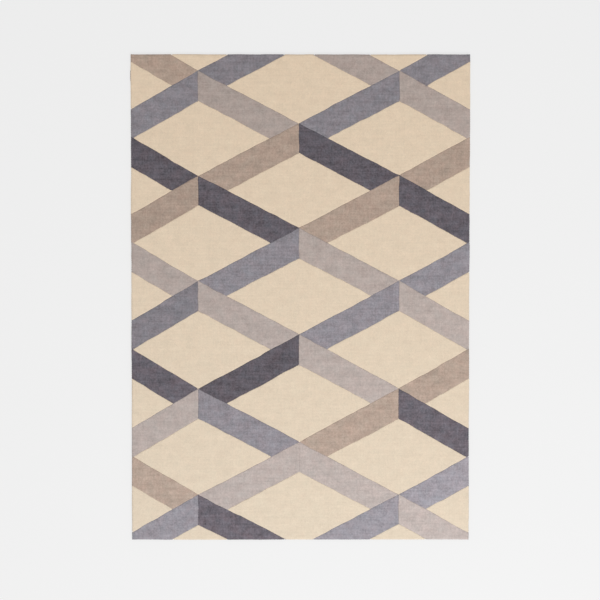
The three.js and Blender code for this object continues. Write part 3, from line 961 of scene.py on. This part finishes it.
class RUG_OT_hem_tapes(bpy.types.Operator):
    """Sew the four hem tapes over the folded edge"""

    bl_idname = "rug.hem_tapes"
    bl_label = "Hem Tapes"

    def execute(self, context):
        settings = context.scene.rug_backing
        tape_cloth = herringbone_tape("Cotton herringbone tape", settings.tape)
        thread = plain_weave("Waxed linen thread", settings.thread, thread=0.6 * MM, contrast=0.1)
        for node in ("hem_tape_left", "hem_tape_right", "hem_tape_far_end", "hem_tape_near_end"):
            self.sew_tape(node, settings, tape_cloth, thread)
        return {"FINISHED"}

    def sew_tape(self, node, settings, tape_cloth, thread):
        """Lays one tape and sews it down with a row of stitches along each of its long edges."""
        low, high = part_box(node)
        # The tape leaves the stitches' thickness free below it.
        stitch_room = 0.3 * MM
        tape_low = (low.x, low.y, low.z + stitch_room)
        cell = (5 * MM, 9 * MM) if node in ("hem_tape_left", "hem_tape_right") else (9 * MM, 5 * MM)
        piece = woven_slab(f"{node}_sewn", tape_low, high, cell=cell, pucker=0.15 * MM, seed=51,
                           round_edge=0.2 * MM)
        place_piece(piece, tape_cloth, "hem_tape", node)
        margin = 4 * MM
        if high.y - low.y > high.x - low.x:
            lines = [((x, low.y + margin), (x, high.y - margin)) for x in (low.x + margin, high.x - margin)]
        else:
            lines = [((low.x + margin, y), (high.x - margin, y)) for y in (low.y + margin, high.y - margin)]
        points, faces, ends, total = [], [], [], 0
        for start, end in lines:
            row_points, row_faces, row_ends = stitch_row(start, end, settings)
            row_points[:, 2] += settings.thread_width / 3
            points.append(row_points)
            faces.append(row_faces + total)
            ends.append(row_ends + total)
            total += len(row_points)
        stitches = new_piece(f"{node}_stitches", settled(np.concatenate(points)),
                             [np.concatenate(faces), np.concatenate(ends)])
        stitches.data.materials.append(thread)
        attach(stitches, "root")


class RUG_OT_side_label(bpy.types.Operator):
    """Tuck the blank woven label in between the left tape and the hem"""

    bl_idname = "rug.side_label"
    bl_label = "Side Label"

    def execute(self, context):
        settings = context.scene.rug_backing
        low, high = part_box("side_label")
        piece = self.folded_label(low, high)
        cloth = plain_weave("Close woven label cloth", settings.label,
                            thread=0.8 * MM, contrast=0.12, roughness=0.7)
        place_piece(piece, cloth, "label", "side_label")
        return {"FINISHED"}

    def folded_label(self, low, high):
        """A strip folded double: two leaves from the tape, and a soft round fold at the outer end."""
        thickness, apart, loop, stray = 0.22 * MM, 0.14 * MM, 0.5 * MM, 0.15 * MM
        middle = (low.z + high.z) / 2
        leaf_points, turn_steps, rows = 6, 8, 24
        line = []
        for share in np.linspace(0, 1, leaf_points)[:-1]:
            line.append((high.x + share * (low.x + 2 * loop - high.x), middle + apart))
        for step in range(turn_steps + 1):
            angle = math.pi / 2 + math.pi * step / turn_steps
            line.append((low.x + loop + loop * math.cos(angle), middle + loop * math.sin(angle)))
        for share in np.linspace(1, 0, leaf_points)[1:]:
            line.append((high.x + share * (low.x + 2 * loop - high.x), middle - apart))
        ys = np.linspace(low.y, high.y, rows)
        # The threads across the strip stray a little along it, each by its own amount.
        points = np.array([[x, y + stray * math.sin(40 * x / MM), z] for y in ys for x, z in line])
        r, c = np.mgrid[0 : rows - 1, 0 : len(line) - 1]
        a = (r * len(line) + c).ravel()
        quads = np.stack([a, a + 1, a + len(line) + 1, a + len(line)], axis=1)
        label = new_piece("side_label_folded", settled(points), [quads])
        solidify = label.modifiers.new("thickness", "SOLIDIFY")
        solidify.thickness, solidify.offset = thickness, 0
        apply_modifiers(label)
        return label


class RUG_OT_stage(bpy.types.Operator):
    """Set up the floor, the soft studio light and the camera"""

    bl_idname = "rug.stage"
    bl_label = "Stage"

    def execute(self, context):
        settings = context.scene.rug_stage
        self.make_floor(settings)
        self.make_light(context, settings)
        self.make_camera(context, settings)
        return {"FINISHED"}

    def make_floor(self, settings):
        # The floor runs on far out of view, and its own glow keeps it an even pale grey.
        reach, glow = 30.0, 0.66
        corners = np.array([[-reach, -reach, 0], [reach, -reach, 0], [reach, reach, 0], [-reach, reach, 0]])
        floor = new_piece("floor", corners, [np.array([[0, 1, 2, 3]])])
        floor.data.materials.append(matt_floor("Matt studio floor", settings.floor, glow))

    def make_light(self, context, settings):
        world = bpy.data.worlds.new("Studio room")
        world.use_nodes = True
        world.node_tree.nodes["Background"].inputs["Color"].default_value = [1, 1, 1, 1]
        world.node_tree.nodes["Background"].inputs["Strength"].default_value = settings.sky_strength
        context.scene.world = world
        # The softbox hangs beyond the near end, to the right, and faces the rug's middle.
        place, aimed_at, side = Vector((1.5, -4.2, 4.8)), Vector((0.1, 0.2, 0)), 3.0
        softbox = bpy.data.lights.new("Softbox", "AREA")
        softbox.shape, softbox.size, softbox.energy = "SQUARE", side, settings.softbox_power
        lamp = bpy.data.objects.new("Softbox", softbox)
        lamp.location = place
        lamp.rotation_euler = (aimed_at - place).to_track_quat("-Z", "Y").to_euler()
        lamp.visible_camera = False
        context.scene.collection.objects.link(lamp)
        context.scene.view_settings.view_transform = "Standard"

    def make_camera(self, context, settings):
        focal_length, sensor_width = 100.0, 36.0
        lens = bpy.data.cameras.new("Camera")
        lens.lens, lens.sensor_width = focal_length, sensor_width
        camera = bpy.data.objects.new("Camera", lens)
        # The rug's middle sits a little above the middle of the camera's view.
        to_left, to_near_end = -1.9 * MM, -8.3 * MM
        target = Vector((to_left, to_near_end, PILE_TOP))
        away = Vector((0, math.sin(settings.camera_lean), math.cos(settings.camera_lean)))
        camera.location = target + away * settings.camera_distance
        camera.rotation_euler = (-settings.camera_lean, 0, 0)
        context.scene.collection.objects.link(camera)
        context.scene.camera = camera


class RUG_PT_builder(bpy.types.Panel):
    """Sidebar panel that lists the rug's pieces and their settings"""

    bl_idname = "RUG_PT_builder"
    bl_label = "Tufted Rug"
    bl_space_type = "VIEW_3D"
    bl_region_type = "UI"
    bl_category = "Rug"

    def draw(self, context):
        for group in (context.scene.rug_pile, context.scene.rug_backing, context.scene.rug_stage):
            box = self.layout.box()
            for name in group.bl_rna.properties.keys():
                if name not in ("rna_type", "name"):
                    box.prop(group, name)
        for operator in OPERATORS:
            self.layout.operator(operator.bl_idname)


OPERATORS = (RUG_OT_stage, RUG_OT_latex_coat, RUG_OT_backing_canvas, RUG_OT_hem_tapes, RUG_OT_primary_cloth,
             RUG_OT_side_label, RUG_OT_tuft_pile)
SETTINGS = {"rug_pile": RugPileSettings, "rug_backing": RugBackingSettings, "rug_stage": RugStageSettings}


def register():
    for name, group in SETTINGS.items():
        bpy.utils.register_class(group)
        setattr(bpy.types.Scene, name, bpy.props.PointerProperty(type=group))
    for kind in (*OPERATORS, RUG_PT_builder):
        bpy.utils.register_class(kind)


def unregister():
    for kind in (RUG_PT_builder, *reversed(OPERATORS)):
        bpy.utils.unregister_class(kind)
    for name, group in reversed(SETTINGS.items()):
        delattr(bpy.types.Scene, name)
        bpy.utils.unregister_class(group)


def main():
    register()
    bpy.ops.rug.stage()
    bpy.ops.rug.latex_coat()
    bpy.ops.rug.backing_canvas()
    bpy.ops.rug.hem_tapes()
    bpy.ops.rug.primary_cloth()
    bpy.ops.rug.side_label()
    bpy.ops.rug.tuft_pile()


if __name__ == "__main__":
    main()
